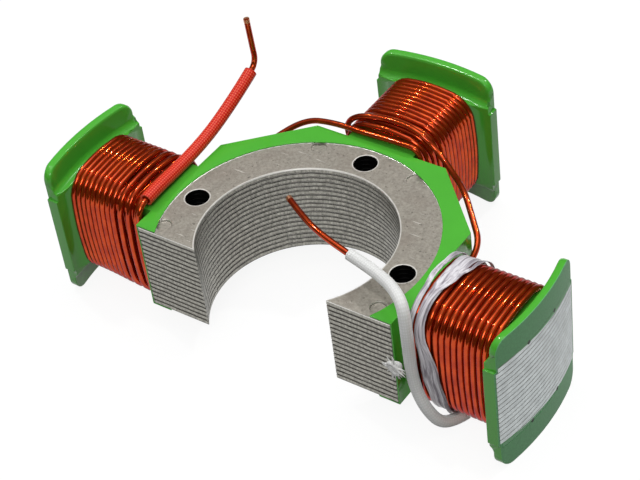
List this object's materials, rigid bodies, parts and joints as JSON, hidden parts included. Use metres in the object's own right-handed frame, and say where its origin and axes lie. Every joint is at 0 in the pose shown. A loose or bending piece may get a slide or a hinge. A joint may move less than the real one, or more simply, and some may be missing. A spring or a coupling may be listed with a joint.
{
  "type": "wound stator",
  "caption": "Stator of a small motor: a laminated half-ring with a green coat and wound poles whose ends carry bent tabs, with two sleeved leads.",
  "frame": {"origin": "on the axis of the bore, at the underside of the sheet stack", "axes": "+Z along the bore, from the underside of the stack to the side that the leads leave; +Y from the bore axis along the middle pole; +X from the bore axis along the right pole"},
  "size_m": [0.119, 0.0767, 0.0517],
  "materials": {
    "sheet_steel": "satin",
    "powder_coat": "gloss",
    "wire_enamel": "gloss",
    "red_braid": "matte",
    "white_braid": "matte",
    "lacing_tape": "satin",
    "lacing_cord": "matte"
  },
  "bodies": {
    "root": {"lamination_02": "sheet_steel", "lamination_03": "sheet_steel", "lamination_04": "sheet_steel", "lamination_05": "sheet_steel", "lamination_06": "sheet_steel", "lamination_07": "sheet_steel", "lamination_08": "sheet_steel", "lamination_09": "sheet_steel", "lamination_10": "sheet_steel", "lamination_11": "sheet_steel", "lamination_12": "sheet_steel", "lamination_13": "sheet_steel", "lamination_14": "sheet_steel", "lamination_15": "sheet_steel", "lamination_16": "sheet_steel", "lamination_17": "sheet_steel", "end_plate_top": "sheet_steel", "end_plate_bottom": "sheet_steel", "epoxy_coat": "powder_coat", "winding_left": "wire_enamel", "winding_back": "wire_enamel", "winding_right": "wire_enamel", "crossover_left_back": "wire_enamel", "crossover_back_right": "wire_enamel", "start_lead": "wire_enamel", "finish_lead": "wire_enamel", "red_sleeve": "red_braid", "white_sleeve": "white_braid", "lacing_tape": "lacing_tape", "lacing_knot": "lacing_cord"}
  },
  "joints": []
}
